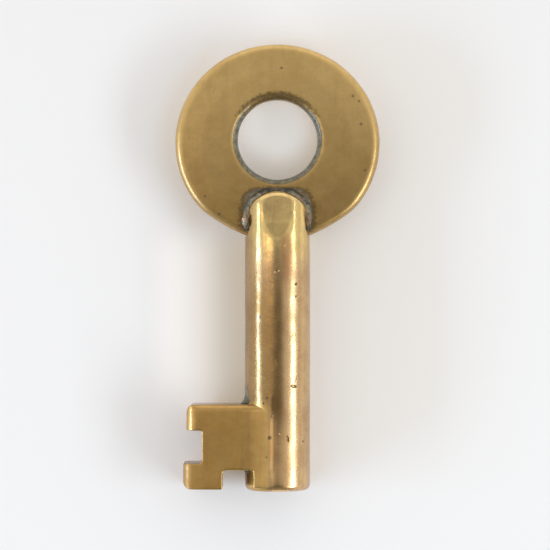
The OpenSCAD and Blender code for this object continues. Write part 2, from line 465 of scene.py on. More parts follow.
def make_tooth(name, left, y_low, y_high):
    """A block with a rounded outer corner, and with its left end worn round on both faces."""
    tooth = add_block(name, (left, y_low, bit_low.z), (0, y_high, bit_high.z))
    round_edges(tooth, is_outer_corner, CORNER_ROUND, segments=6)
    round_edges(tooth, is_top_edge, TOP_ROUND, segments=5)
    for side in (1, -1):
        centre = Vector((left + WORN_R, 0, side * (BIT_T / 2 - WORN_R)))
        for turn in WORN_TURNS:
            outward = Vector((-math.sin(turn), 0, side * math.cos(turn)))
            slice_off(tooth, centre + outward * WORN_R, outward)
    return tooth


tall = 2 * BIT_T
bit = make_tooth("worn_bit", bit_low.x, bit_low.y, SIDE_CUT_Y[1])
upper_tooth = make_tooth("upper_tooth", UPPER_TOOTH_X, SIDE_CUT_Y[1] - TOOTH_LAP, bit_high.y)
cut(bit, upper_tooth, "UNION")
cut(bit, add_block("side_cutter", (-20, SIDE_CUT_Y[0], -tall), (SIDE_CUT_X, SIDE_CUT_Y[1], tall)))
cut(bit, add_block("end_cutter", (END_CUT_X, -5, -tall), (5, END_CUT_Y, tall)))
print("bit", len(bit.data.polygons), "faces")

# %% [markdown]
# The outer corners and the left ends of the teeth are rounded most, because they rub on the pocket and
# on the lock. The inner corners keep the round of the file that cut them, and every other edge only
# loses its sharpness.

# %% Round the inner corners and the edges
BIT_EDGE = 0.5
BEVEL_FROM = math.radians(30)


def is_notch_corner(a, b):
    """An upright edge at the bottom of a ward cut."""
    upright = abs(a.z - b.z) > BIT_T / 2
    in_side_cut = abs(a.x - SIDE_CUT_X) < NEAR and SIDE_CUT_Y[0] - NEAR < a.y < SIDE_CUT_Y[1] + NEAR
    in_end_cut = abs(a.x - END_CUT_X) < NEAR and abs(a.y - END_CUT_Y) < NEAR
    return upright and (in_side_cut or in_end_cut)


round_edges(bit, is_notch_corner, NOTCH_ROUND, segments=3)
apply_modifier(bit, "BEVEL", width=BIT_EDGE, segments=4, limit_method="ANGLE", angle_limit=BEVEL_FROM)
print("rounded bit", len(bit.data.polygons), "faces")

# %% The saddle and the tongue
saddle = add_rod("saddle_cutter", BARREL_R, -20, 20)
cut(bit, saddle)
cut(bit, tongue_block("tongue", -BARREL_R - 0.2), "UNION")
wear_down(bit, voxel=0.085, rounds=18)

# %% [markdown]
# ## The dressed fillets
#
# On both faces the bit's braze is dressed flush, so that the bit seems to grow out of the barrel. Each
# fillet is a block with a large round cut into its top, tangent to the bit's face and to the barrel. It
# reaches a little way into both, so no gap can open between them. A narrow strip runs on down towards
# the barrel's mouth, a web with a hollow round fills the corner above the bit, and the upper end is
# rounded over, as the bit's is.

# %% The fillets' sizes
FILLET_R = 10
FILLET_Y = (END_CUT_Y, bit_high.y)
FILLET_RIGHT = -1.32
FILLET_SUNK = 0.8  # how far the block reaches into the bit
FILLET_TOP_Z = BARREL_R - 0.1
FILLET_EDGE = 0.55
FILLET_END = 0.8  # how far its upper end is rounded over
FILLET_BEVEL_FROM = math.radians(50)
STRIP_X = -2.95
STRIP_Y = (0.45, 6)
WEB_R = 1.0
WEB_X = (-3.95, -2.2)
WEB_LOW = 8
WEB_SUNK = (1.4, 0.7)  # how far the web's two faces lie below the bit's face
fillet_centre_z = BIT_T / 2 + FILLET_R
fillet_sweep = math.acos(fillet_centre_z / (BARREL_R + FILLET_R))
fillet_centre_x = -(BARREL_R + FILLET_R) * math.sin(fillet_sweep)
print(f"fillet from x {fillet_centre_x:.2f} to {FILLET_RIGHT} mm")


# %% Two fillets, front and back
def is_upper_end(a, b, side):
    """An edge of the fillet's scraped face at its upper end."""
    level = BIT_T / 2 - 0.1
    return min(a.y, b.y) > FILLET_Y[1] - NEAR and min(side * a.z, side * b.z) > level


def make_web(side):
    """The thin web with a hollow round, in the corner above the bit."""
    z_low, z_high = sorted(side * (BIT_T / 2 - sunk) for sunk in WEB_SUNK)
    centre_y = FILLET_Y[1] + WEB_R
    web = add_block("web", (WEB_X[0], WEB_LOW, z_low), (WEB_X[1], centre_y, z_high))
    web_round = start_piece(
        "web_round", cylinder, vertices=64, radius=WEB_R, depth=20, location=(WEB_X[0], centre_y, 0)
    )
    return cut(web, web_round)


def make_fillet(name, side):
    """The braze that carries one face of the bit up on to the barrel."""
    z_low, z_high = sorted((side * (BIT_T / 2 - FILLET_SUNK), side * FILLET_TOP_Z))
    fillet = add_block(name, (fillet_centre_x, FILLET_Y[0], z_low), (FILLET_RIGHT, FILLET_Y[1], z_high))
    strip = add_block("strip", (STRIP_X, STRIP_Y[0], z_low), (FILLET_RIGHT, STRIP_Y[1], z_high))
    cut(fillet, strip, "UNION")
    cut(fillet, make_web(side), "UNION")
    scraper = add_rod(
        "scraper", FILLET_R, -15, 15, x=fillet_centre_x, z=side * fillet_centre_z, vertices=512
    )
    cut(fillet, scraper)
    round_edges(fillet, lambda a, b: is_upper_end(a, b, side), FILLET_END, segments=5)
    apply_modifier(
        fillet, "BEVEL", width=FILLET_EDGE, segments=3, limit_method="ANGLE", angle_limit=FILLET_BEVEL_FROM
    )
    return wear_down(fillet, voxel=0.08, rounds=18)


fillets = {
    "bit_braze_front": make_fillet("dressed_fillet_front", 1),
    "bit_braze_back": make_fillet("dressed_fillet_back", -1),
}

# %% [markdown]
# ## The rough braze
#
# Round the barrel's end, and in the two corners at the bit's root, the braze was never dressed. It is a
# porous bank full of soot. The CAD nodes hold its section, so here we copy a node, weld its loose
# triangles, trim it, melt it, and let a finer cloud texture eat into it.

# %% Copy, melt and roughen a braze node
crust = bpy.data.textures.new("braze crust", "CLOUDS")
crust.noise_scale = 0.5
crust.noise_depth = 3
CRUST_LEVEL = 0.4


def copy_node(name, node):
    """A welded copy of a CAD node, in millimetres."""
    source = frame["nodes"][node]
    copy = bpy.data.objects.new(name, source.data.copy())
    bpy.context.scene.collection.objects.link(copy)
    copy.data.materials.clear()
    copy.data.transform(Matrix.Scale(1 / METRE, 4))
    only(copy)
    bpy.ops.object.mode_set(mode="EDIT")
    bpy.ops.mesh.select_all(action="SELECT")
    bpy.ops.mesh.remove_doubles(threshold=0.001)
    edit_done()
    return copy


def melt_crust(bank, rounds, eat_mm):
    """Melts a trimmed bank of braze and roughens it."""
    apply_modifier(bank, "REMESH", mode="VOXEL", voxel_size=0.07)
    apply_modifier(bank, "SMOOTH", factor=0.5, iterations=rounds)
    apply_modifier(
        bank, "DISPLACE", texture=crust, texture_coords="LOCAL", strength=eat_mm, mid_level=CRUST_LEVEL
    )
    print(f"{bank.name}: {len(bank.data.polygons)} faces")
    return bank


# %% [markdown]
# The bank round the barrel's end sinks towards the bow's rim. On the left one bead of filler metal stands
# out of it, with a second and duller drop beside it, and both are bare where they were rubbed. A mark on
# each point says how bare it is there, for the material to read.

# %% Where the bead and the drop of filler are bare
# Each drop: its place, its radius, its reach along each axis, and how bare it is, in millimetres and 0 to 1
BEAD = {"at": (-4.02, 32.75, 1.84), "radius": 0.42, "reach": (0.44, 0.76, 0.55), "bare": 1.0}
FILLER = {"at": (-3.85, 32.7, 1.70), "radius": 0.38, "reach": (0.6, 1.1, 0.6), "bare": 0.55}
DROP_LONG = 1.8  # how many times longer than wide


def store_mark(piece, name, values):
    """Stores one number on each point of a piece, for its material to read."""
    piece.data.attributes.new(name, "FLOAT", "POINT").data.foreach_set("value", values)


def bareness(place, drop):
    """How bare a place is: full well inside a drop, and nothing a little way out."""
    away = [a / reach for a, reach in zip(place - Vector(drop["at"]), drop["reach"])]
    return drop["bare"] * min(max(2.2 - 2 * math.hypot(*away), 0), 1)


def add_drop(bank, drop):
    """Joins a long drop of metal to a bank of braze."""
    place = drop["at"]
    metal = start_piece("drop", ball, segments=24, ring_count=16, radius=drop["radius"], location=place)
    edit_pick(metal, "FACE", lambda centre, normal: True)
    bpy.ops.transform.resize(value=(1, DROP_LONG, 1), center_override=place)
    edit_done()
    bank.select_set(True)
    bpy.context.view_layer.objects.active = bank
    bpy.ops.object.join()


# %% The banks round the barrel's end
SEAM_HALF = 4.2
SEAM_TOP = BARREL_TOP + 0.38
SEAM_LOW = bow_low.y + 1.55
SEAM_CREST = (34.6, 2.36)  # a point on the bank's top: its y and its height
SEAM_SLOPE = 0.22  # how steeply the top sinks from there towards the bow's rim
SEAM_GRIP = 0.965  # narrows the bank, so that it hugs the barrel's end
SEAM_DOWN = -0.1  # moves it a little towards the mouth


def make_seam(name, node, side):
    """The bank round the barrel's end on one face of the bow."""
    bank = copy_node(name, node)
    slice_off(bank, (-SEAM_HALF, 0, 0), (-1, 0, 0))
    slice_off(bank, (SEAM_HALF, 0, 0), (1, 0, 0))
    slice_off(bank, (0, SEAM_TOP, 0), (0, 1, 0))
    slice_off(bank, (0, SEAM_LOW, 0), (0, -1, 0))
    slice_off(bank, (0, SEAM_CREST[0], side * SEAM_CREST[1]), (0, -SEAM_SLOPE, side))
    if side > 0:
        for drop in (BEAD, FILLER):
            add_drop(bank, drop)
    melt_crust(bank, rounds=4, eat_mm=0.24)
    narrow = Matrix.Diagonal((SEAM_GRIP, 1, 1, 1))
    bank.data.transform(Matrix.Translation((0, SEAM_DOWN, 0)) @ narrow)
    bare = [max(bareness(v.co, BEAD), bareness(v.co, FILLER)) for v in bank.data.vertices]
    store_mark(bank, "bead", bare)
    return bank


# %% The beads at the bit's root
ROOT_TOP = 1.7  # where the slanting cut over the beads meets the barrel's side
ROOT_IN = 0.15  # moves the beads in against the barrel


def make_beads(name, node):
    """The two beads in the corners at the bit's root. They lie low against the barrel's side."""
    beads = copy_node(name, node)
    for side in (1, -1):
        slice_off(beads, (-BARREL_R, 0, side * ROOT_TOP), (-0.5, 0, side))
    beads.data.transform(Matrix.Translation((ROOT_IN, 0, 0)))
    return melt_crust(beads, rounds=8, eat_mm=0.08)


seams = {
    "bow_braze_front": make_seam("rough_seam_front", "bow_braze_front", 1),
    "bow_braze_back": make_seam("rough_seam_back", "bow_braze_back", -1),
    "bit_braze_corners": make_beads("corner_beads", "bit_braze_corners"),
}

# %% [markdown]
# ## Nicks and pits
#
# Years of pocket and lock left a few nicks that you can feel with a nail. Each is cut with a small
# squashed ball, half sunk into the front of the metal. All balls are joined first, so that one cut
# serves each piece.

# %% Where the nicks are
# Each nick: x, y, length, width, depth in millimetres, its turn in degrees, and its grime from 0 to 1
BARREL_NICKS = [
    (1.95, 12.70, 0.85, 0.42, 0.17, -12, 0.4),
    (2.22, 13.55, 0.13, 1.20, 0.06, -24, 0.3),
    (-0.12, 26.45, 0.75, 0.44, 0.13, 35, 0.0),
    (-0.75, 24.60, 0.09, 0.60, 0.04, 12, 0.0),
    (-0.95, 25.30, 0.08, 0.40, 0.04, 30, 0.0),
    (1.26, 6.40, 0.26, 0.85, 0.13, 12, 0.8),
    (-0.96, 6.53, 0.46, 0.38, 0.14, 20, 0.9),
    (-0.66, 9.16, 0.34, 0.46, 0.09, 0, 0.6),
    (0.30, 7.00, 0.30, 0.30, 0.08, 0, 0.0),
    (2.21, 24.99, 0.36, 0.28, 0.13, 30, 0.9),
    (2.21, 23.49, 0.22, 0.22, 0.09, 0, 0.9),
    (-2.10, 21.03, 0.20, 0.30, 0.09, 0, 0.9),
    (-1.68, 10.66, 0.22, 0.22, 0.09, 0, 1.0),
    (-1.26, 11.30, 0.22, 0.26, 0.08, 0, 1.0),
    (3.05, 6.05, 0.24, 0.24, 0.09, 0, 0.8),
    (-1.30, 4.20, 0.20, 0.20, 0.07, 0, 0.6),
    (1.50, 18.40, 0.12, 1.60, 0.04, -35, 0.2),
    (-0.20, 15.60, 0.08, 1.40, 0.03, 18, 0.0),
    (0.95, 29.60, 0.08, 1.10, 0.02, -28, 0.0),
]
BOW_NICKS = [
    (0.48, 51.03, 0.38, 0.28, 0.07, 10, 0.8),
    (9.10, 47.66, 0.32, 0.32, 0.07, 0, 0.8),
    (9.83, 47.05, 0.30, 0.30, 0.07, 0, 0.8),
    (10.07, 44.28, 0.38, 0.32, 0.07, 40, 0.8),
    (10.55, 38.73, 0.32, 0.32, 0.07, 0, 0.8),
    (-7.06, 33.43, 0.38, 0.28, 0.07, 30, 0.8),
    (-8.74, 35.60, 0.28, 0.28, 0.07, 0, 0.8),
    (-7.70, 48.30, 0.12, 0.60, 0.06, -20, 0.3),
]
print(len(BARREL_NICKS), "nicks in the barrel and", len(BOW_NICKS), "in the bow")

# %% Cut the nicks and mark their grime
def read_points(group, what):
    """Three numbers for each point of a mesh, such as its place, as rows of an array."""
    values = np.empty(len(group) * 3, dtype=np.float32)
    group.foreach_get(what, values)
    return values.reshape(len(group), 3)


def store_grime(piece, nicks):
    """Marks how much grime lies at each point of the front: all of it in a nick, none a little way out."""
    x, y, z = read_points(piece.data.vertices, "co").T
    grime = np.zeros(len(x), dtype=np.float32)
    for nick_x, nick_y, length, width, _, turn, dark in nicks:
        cos, sin = math.cos(math.radians(turn)), math.sin(math.radians(turn))
        along = ((x - nick_x) * cos + (y - nick_y) * sin) / (length / 2)
        across = ((y - nick_y) * cos - (x - nick_x) * sin) / (width / 2)
        inside = np.clip(2.6 - 2 * np.hypot(along, across), 0, 1)
        grime = np.maximum(grime, inside * dark * (z > 0))
    store_mark(piece, "grime", grime)


def cut_nicks(piece, nicks, surface):
    """Cuts a list of nicks into a piece. surface gives the height of the metal and its lean at x."""
    cutters = []
    for i, (x, y, length, width, depth, turn, _) in enumerate(nicks):
        height, lean = surface(x)
        cutter = start_piece(f"nick_{i}", ball, segments=20, ring_count=12, radius=1)
        turned = Matrix.Rotation(lean, 4, "Y") @ Matrix.Rotation(math.radians(turn), 4, "Z")
        cutter.data.transform(turned @ Matrix.Diagonal((length / 2, width / 2, depth, 1)))
        cutter.data.transform(Matrix.Translation((x, y, height)))
        cutters.append(cutter)
    for cutter in cutters:
        cutter.select_set(True)
    bpy.ops.object.join()
    cut(piece, bpy.context.object, solver="MANIFOLD")
    piece.data.materials.clear()
    store_grime(piece, nicks)
    print(f"{piece.name}: {len(nicks)} nicks, {len(piece.data.polygons)} faces")


WORN_AWAY = 0.03  # millimetres that the swell has taken off the surface


def barrel_surface(x):
    """The height of the barrel's front and its lean."""
    return math.sqrt(BARREL_R**2 - x**2) - WORN_AWAY, math.asin(x / BARREL_R)


cut_nicks(barrel, BARREL_NICKS, barrel_surface)
cut_nicks(bow, BOW_NICKS, lambda x: (BOW_T / 2 - WORN_AWAY, 0))

# %% [markdown]
# ## Where the metal stands proud
#
# Dirt stays in hollows and hands polish what stands proud. To find both, we smooth a twin of the piece
# hard and measure how far each point of the piece stands above its twin, in millimetres. The result goes
# into a vertex attribute that the materials read.

# %% Measure edges and hollows
def measure_proud(piece, rounds=30):
    """Stores how far each point stands proud of a much smoother twin."""
    twin = piece.copy()
    twin.data = piece.data.copy()
    bpy.context.scene.collection.objects.link(twin)
    apply_modifier(twin, "SMOOTH", factor=0.5, iterations=rounds)
    place = read_points(piece.data.vertices, "co")
    smooth_place = read_points(twin.data.vertices, "co")
    normal = read_points(piece.data.vertex_normals, "vector")
    proud = ((place - smooth_place) * normal).sum(axis=1)
    bpy.data.objects.remove(twin)
    store_mark(piece, "proud", proud)
    low, mid, high = np.percentile(proud, (2, 50, 98))
    print(f"{piece.name}: proud {low:.3f} / {mid:.3f} / {high:.3f} mm")


# %% [markdown]
# A finished piece is measured, shrunk to metres and smooth-shaded, with every edge over 50 degrees left
# sharp.

# %% Hand the finished pieces over
SHARP_FROM = math.radians(50)


def hand_over(piece, node):
    """Measures a piece, shrinks it to metres and puts it in the place of its CAD node."""
    measure_proud(piece)
    piece.data.transform(Matrix.Scale(METRE, 4))
    only(piece)
    bpy.ops.object.shade_smooth_by_angle(angle=SHARP_FROM)
    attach(piece, "root")
    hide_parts(node)


hand_over(bow, "bow")
hand_over(barrel, "barrel")
hand_over(bit, "bit")
for node, piece in fillets.items():
    hand_over(piece, node)
for node, piece in seams.items():
    hand_over(piece, node)

# %% [markdown]
# ## Materials
#
# Colours are written as the sRGB hex values that a picture editor shows. One function turns them to the
# linear values that the renderer wants. One adds a node with its settings, and it fills the node's inputs
# through a third.

# %% Colours and nodes
def to_linear(hex_colour):
    """An sRGB hex colour as linear red, green, blue and alpha."""
    parts = [int(hex_colour[i : i + 2], 16) / 255 for i in (1, 3, 5)]
    return [c / 12.92 if c <= 0.04045 else ((c + 0.055) / 1.055) ** 2.4 for c in parts] + [1.0]


def plug_in(tree, node, inputs):
    """Gives each input of a node a value, a colour or another node's output."""
    for key, value in dict(inputs).items():
        if isinstance(value, bpy.types.NodeSocket):
            tree.links.new(value, node.inputs[key])
        elif isinstance(value, str):
            node.inputs[key].default_value = to_linear(value)
        else:
            node.inputs[key].default_value = value


def add_node(tree, kind, inputs=(), **options):
    """Adds a node with its settings and its inputs."""
    node = tree.nodes.new("ShaderNode" + kind)
    for key, value in options.items():
        setattr(node, key, value)
    plug_in(tree, node, inputs)
    return node


# %% [markdown]
# A finish is laid on in coats, and each coat has its place. A mask is 1 where the coat lies and 0 where
# it doesn't, with a soft edge between. `all_of` makes a mask from soft steps that all have to hold, such
# as "left of here" and "below there". `any_of` takes the strongest of several masks. `lay_on` then lays
# coats of colour over each other, each through its own mask.

# %% Masks and coats
def all_of(tree, *steps):
    """Multiplies soft steps. A step is a ready mask, or a value with where the step starts, where it is full
    and, if these aren't worth 0 and 1, what they are worth."""
    product = None
    for step in steps:
        if not isinstance(step, bpy.types.NodeSocket):
            value, start, full, *worth = step
            low, high = worth or (0.0, 1.0)
            limits = {"Value": value, "From Min": start, "From Max": full, "To Min": low, "To Max": high}
            step = add_node(tree, "MapRange", limits, interpolation_type="SMOOTHSTEP").outputs[0]
        if product is not None:
            step = add_node(tree, "Math", {0: product, 1: step}, operation="MULTIPLY").outputs[0]
        product = step
    return product


def any_of(tree, *masks):
    """The strongest of several masks at each point."""
    strongest = masks[0]
    for mask in masks[1:]:
        strongest = add_node(tree, "Math", {0: strongest, 1: mask}, operation="MAXIMUM").outputs[0]
    return strongest


def lay_on(tree, colour, *coats):
    """Lays coats over a colour. A coat is its mask and its colour. In a Mix node, inputs 6 and 7 and
    output 2 are the colours."""
    for mask, coat in coats:
        mix = add_node(tree, "Mix", {0: mask, 6: colour, 7: coat}, data_type="RGBA")
        colour = mix.outputs[2]
    return colour


# %% [markdown]
# All materials start in the same way. Their patterns are drawn on each point's place in millimetres, so
# that a pattern has its real size, and they read the marks that were stored on the pieces.

# %% Start a material
def start_material(name, marks=(), patterns=()):
    """A new material with each point's place in millimetres, and the marks and patterns that it reads. A
    pattern is how many clouds lie in a millimetre, how many finer layers they have and how strong these
    are."""
    material = bpy.data.materials.new(name)
    material.use_nodes = True
    tree = material.node_tree
    place = add_node(tree, "TexCoord").outputs["Object"]
    mm = add_node(tree, "VectorMath", {0: place, "Scale": 1 / METRE}, operation="SCALE").outputs[0]
    found = {mark: add_node(tree, "Attribute", attribute_name=mark).outputs["Fac"] for mark in marks}
    for pattern, (scale, detail, rough) in dict(patterns).items():
        inputs = {"Vector": mm, "Scale": scale, "Detail": detail, "Roughness": rough}
        found[pattern] = add_node(tree, "TexNoise", inputs).outputs["Fac"]
    return material, tree, mm, found


# %% [markdown]
# ### Worn brass
#
# The key is cast yellow brass, about seven parts copper to three of zinc. Bare, it is a bright yellow
# metal, so Metallic is 1 and the IOR stays at its default. Air turns it olive and brown in clouds a few
# millimetres wide. A casting's skin shows as fine grain once it is rubbed, and the pocket draws faint
# brown marks along the key.

# %% Tarnish, grain and rubbing marks
BRASS_PATTERNS = {
    "clouds": (0.33, 6, 0.68),  # tarnish, 3 mm wide
    "grain": (2.8, 3, 0.6),  # the casting's skin, a third of a millimetre wide
    "flecks": (1.6, 6, 0.75),  # the two colours of the crust, 0.6 mm wide
    "skin": (4.0, 4, 0.65),  # bumps of the rubbed skin, a quarter of a millimetre wide
}
SPECK = 0.5
RUB_ALONG = (1.5, 0.07, 1.5)  # draws the marks out to 14 mm along the key, at a width of 0.7 mm
RUB_BROWN = "#A9784A"


def clean_brass(tree, mm, found, tint, streaks):
    """The colour of the brass where no dirt lies, and the mask of its tarnish."""
    bare, tarnish, bright = tint
    tarnished = all_of(tree, (found["clouds"], 0.32, 0.72))
    pale_speck = all_of(tree, (found["grain"], 0.60, 0.78, 0.0, SPECK))
    dark_speck = all_of(tree, (found["grain"], 0.40, 0.24, 0.0, SPECK))
    along = add_node(tree, "VectorMath", {0: mm, 1: RUB_ALONG}, operation="MULTIPLY").outputs[0]
    inputs = {"Vector": along, "Scale": 1.0, "Detail": 4, "Roughness": 0.6}
    mark = add_node(tree, "TexNoise", inputs).outputs["Fac"]
    rubbed = all_of(tree, (mark, 0.45, 0.70, 0.0, streaks))
    coats = (tarnished, tarnish), (pale_speck, bright), (dark_speck, tarnish), (rubbed, RUB_BROWN)
    return lay_on(tree, bare, *coats), tarnished


# %% [markdown]
# Hands keep the edges bright. A wall is painted browner the steeper it stands: partly dirt that hands
# don't reach, and partly painted shade that falls on steep walls.
# Dirt packs into the hollows. It starts as a brown stain and thickens to a crust of two colours, and the
# grain breaks up its border. Grime in the nicks is thin enough for the metal to show through.

# %% Bright edges, shaded brown walls and dirt
# How far a point stands proud, or lies low, where the coat starts and where it is full
EDGE_MM = (0.025, 0.08)
HOLLOW_MM = (-0.03, -0.08)
# The brown of steep walls: dirt and painted shade
WALL_SHADE_AND_DIRT = "#7D5F3A"
# The stain colour also paints the shade round the top of the ring hole
STAIN_AND_SHADE_BROWN = "#6F5632"
GRIME_BROWN = "#7E6340"
BROWN_CRUST = ("#655840", "#8F8A70")
VERDIGRIS = ("#706E56", "#9C9E86")


def handled_brass(tree, colour, found, bright, wall_shade_and_dirt):
    """Lays bright edges over clean brass, and paints the walls brown for dirt and painted shade."""
    edge = all_of(tree, (found["proud"], *EDGE_MM))
    normal = add_node(tree, "TexCoord").outputs["Normal"]
    upward = add_node(tree, "SeparateXYZ", {0: normal}).outputs["Z"]
    level = add_node(tree, "Math", {0: upward}, operation="ABSOLUTE").outputs[0]
    # Painted shade and dirt: the steeper a wall stands, the browner it is painted
    wall = all_of(tree, (level, 0.55, 0.05, 0.0, wall_shade_and_dirt))
    return lay_on(tree, colour, (edge, bright), (wall, WALL_SHADE_AND_DIRT))


def dirty_brass(tree, colour, found, dirt, crust):
    """Lays stain, crust and grime over handled brass. Where the dirt mask holds painted shade, the stain
    paints that shade. Gives the colour and the mask of the crust.
    """
    broken = add_node(tree, "Math", {0: dirt, 1: found["grain"]}, operation="ADD").outputs[0]
    stain = all_of(tree, (broken, 0.55, 0.95, 0.0, 0.8))
    thick = all_of(tree, (broken, 0.85, 1.30))
    flecked = all_of(tree, (found["flecks"], 0.36, 0.64))
    crust_colour = lay_on(tree, crust[0], (flecked, crust[1]))
    coats = (stain, STAIN_AND_SHADE_BROWN), (thick, crust_colour), (found["grime"], GRIME_BROWN)
    return lay_on(tree, colour, *coats), thick


# %% [markdown]
# The recipe puts the coats together. Each piece has its own tint and its own polish, and one tint can
# give way to another from place to place. Tarnish, grain and crust all dull the metal, and only the crust
# isn't metal. Over all of it lies a thin film of wax and skin grease, which pales the highlights. The
# bump is only a few thousandths of a millimetre deep, as the nicks are real hollows.

# %% The worn brass recipe
TARNISH_DULL = 0.10
GRAIN_DULL = 0.16
CRUST_DULL = 0.35
CRUST_METALLIC = 0.15
SKIN_MM = 0.006
FILM = {"Coat Weight": 0.5, "Coat Roughness": 0.05}


def worn_brass(name, tint, wall_shade_and_dirt, streaks, dirt_and_shade_at=None, blends=(), crust=BROWN_CRUST):
    """Brass with clouds of tarnish, bright edges and dirt. A tint is bare, tarnished and bright brass, and
    roughness. The number after the tint is how brown the walls are painted, for dirt and painted shade,
    streaks is how strong the rubbing marks are, and the mask after that gives where dirt and painted shade
    lie. Each blend is another tint and the place where it takes over, and crust is the two colours of
    thick dirt."""
    material, tree, mm, found = start_material(name, ("proud", "grime"), BRASS_PATTERNS)
    *tint, rough = tint
    for (*other, other_rough), blend_at in blends:
        blend = blend_at(tree, mm)
        tint = [lay_on(tree, below, (blend, above)) for below, above in zip(tint, other)]
        rough = add_node(tree, "Mix", {0: blend, 2: rough, 3: other_rough}).outputs[0]
    colour, tarnished = clean_brass(tree, mm, found, tint, streaks)
    colour = handled_brass(tree, colour, found, tint[2], wall_shade_and_dirt)
    # For the bow, the dirt mask also carries painted shade round the top of the ring hole
    dirt = all_of(tree, (found["proud"], *HOLLOW_MM))
    if dirt_and_shade_at:
        dirt = any_of(tree, dirt, dirt_and_shade_at(tree, mm))
    colour, thick = dirty_brass(tree, colour, found, dirt, crust)
    for mask, dull in ((tarnished, TARNISH_DULL), (found["grain"], GRAIN_DULL), (thick, CRUST_DULL)):
        rough = add_node(tree, "Math", {0: mask, 1: dull, 2: rough}, operation="MULTIPLY_ADD").outputs[0]
    metallic = all_of(tree, (thick, 0.0, 1.0, 1.0, CRUST_METALLIC))
    bump = add_node(tree, "Bump", {"Height": found["skin"], "Strength": 1.0, "Distance": SKIN_MM * METRE})
    finish = {"Base Color": colour, "Metallic": metallic, "Roughness": rough, "Normal": bump.outputs[0]}
    plug_in(tree, tree.nodes["Principled BSDF"], {**finish, **FILM})
    return material


# %% [markdown]
# ### Where each finish lies
#
# The places are read from the photo and written as soft steps along the key's own axes, in millimetres.
# X is across the key, Y runs from the mouth to the top of the bow, and Z stands up from its middle.

# %% Soft steps along the key, and distances
def within(tree, mm, *steps):
    """A mask from soft steps along the key's axes. A step is an axis, where the step starts, where it is full
    and, if these aren't worth 0 and 1, what they are worth."""
    axes = add_node(tree, "SeparateXYZ", {0: mm}).outputs
    return all_of(tree, *((axes[axis], *step) for axis, *step in steps))


def distance_from(tree, mm, centre, keep=(1, 1, 0)):
    """How far a point is from a centre, along the axes that keep names with 1."""
    away = add_node(tree, "VectorMath", {0: mm, 1: centre}, operation="SUBTRACT").outputs[0]
    flat = add_node(tree, "VectorMath", {0: away, 1: keep}, operation="MULTIPLY").outputs[0]
    return add_node(tree, "VectorMath", {0: flat}, operation="LENGTH").outputs["Value"]


# %% Where dirt and painted shade sit
def bow_dirt_and_shade(tree, mm):
    """Dirt on the wall of the ring hole and beside the seam at the barrel's end, and painted shade as a brown
    band on the face round the top of the hole.
    """
    from_hole = distance_from(tree, mm, (0, HOLE_Y, 0))
    on_wall = all_of(tree, (from_hole, HOLE_R + 0.74, HOLE_R + 0.44))
    low_wall = within(tree, mm, ("Y", HOLE_Y + 1.5, HOLE_Y + 4.5, 1.0, 0.42))
    # Painted shade: a brown band on the face round the top of the ring hole
    shade_round_hole_top = all_of(tree, (from_hole, HOLE_R + 1.4, HOLE_R + 0.7))
    at_top = within(tree, mm, ("Y", HOLE_Y + 1.5, HOLE_Y + 4.2, 0.0, 0.40))
    from_nose = distance_from(tree, mm, (0, NOSE_Y - 0.3, 0))
    close = all_of(tree, (from_nose, BARREL_R + 2.3, BARREL_R + 0.9))
    beside = within(
        tree, mm, ("X", -SEAM_HALF - 1.2, 0.6 - SEAM_HALF), ("X", SEAM_HALF + 1.2, SEAM_HALF - 0.6),
        ("Y", SEAM_TOP + 0.45, SEAM_TOP - 0.3), ("Y", SEAM_LOW - 1.0, SEAM_LOW + 0.8, 0.0, 0.66),
    )
    parts = (on_wall, low_wall), (shade_round_hole_top, at_top), (close, beside)
    return any_of(tree, *(all_of(tree, *part) for part in parts))


def barrel_dirt(tree, mm):
    """Inside the bore, low on the upper end where it goes into the bow, and in the corner above the bit."""
    from_axis = distance_from(tree, mm, (0, 0, 0), keep=(1, 0, 1))
    inside = all_of(tree, (from_axis, BORE_R + 0.35, BORE_R + 0.05))
    at_bow = within(tree, mm, ("Z", -2.15, -1.6), ("Z", 2.15, 1.6), ("Y", 30.8, 31.8, 0.0, 0.4))
    above_bit = ("Y", bit_high.y - 0.2, bit_high.y + 0.2)
    in_corner = within(tree, mm, ("X", -3.15, -3.85, 0.0, 0.8), ("Y", 13.9, 11.2), above_bit)
    return any_of(tree, inside, at_bow, in_corner)


# %% Where the barrel's tint changes
def near_bow(tree, mm):
    """The upper end of the barrel, with its two flats, which is yellower and smoother."""
    return within(tree, mm, ("Y", 26.0, 31.0))


def dark_crest_and_shaded_flank(tree, mm):
    """Darker and browner on the crest and left of it up to the barrel's middle, and painted shade on its left
    flank all the way up, where the flank shows the shadowed sheet beside it.
    """
    on_crest = within(tree, mm, ("X", 1.0, 0.2), ("Y", 30.5, 22.0), ("Y", 6.0, 11.0, 0.4, 1.0))
    return any_of(tree, on_crest, within(tree, mm, ("X", -2.3, -3.4, 0.0, 0.8)))


def red_film(tree, mm):
    """A reddish brown streak right of the crest, on the barrel's upper half."""
    return within(tree, mm, ("X", 0.2, 0.8, 0.0, 0.75), ("X", 2.1, 1.6), ("Y", 22.0, 28.0), ("Y", 32.0, 30.0))


def low_crest(tree, mm):
    """The crest near the mouth, which is rubbed brighter."""
    return within(tree, mm, ("X", -0.9, -0.5), ("X", 1.9, 1.1), ("Y", 9.5, 6.0))


def near_bit(tree, mm):
    """The lower left of the barrel, where the bit's brown tarnish runs on over the fillets."""
    return within(tree, mm, ("X", -0.5, -1.7), ("Y", 11.4, 9.6))


def ridge_highlight(tree, mm):
    """The low ridge beside the crest, painted as a bright line: a painted highlight along the ridge."""
    left = ("X", RIDGE_X - 0.26, RIDGE_X - 0.08, 0.0, 0.9)
    right = ("X", RIDGE_X + 0.26, RIDGE_X + 0.08)
    return within(tree, mm, left, right, ("Y", 1.2, 3.2), ("Y", 10.2, 8.2))


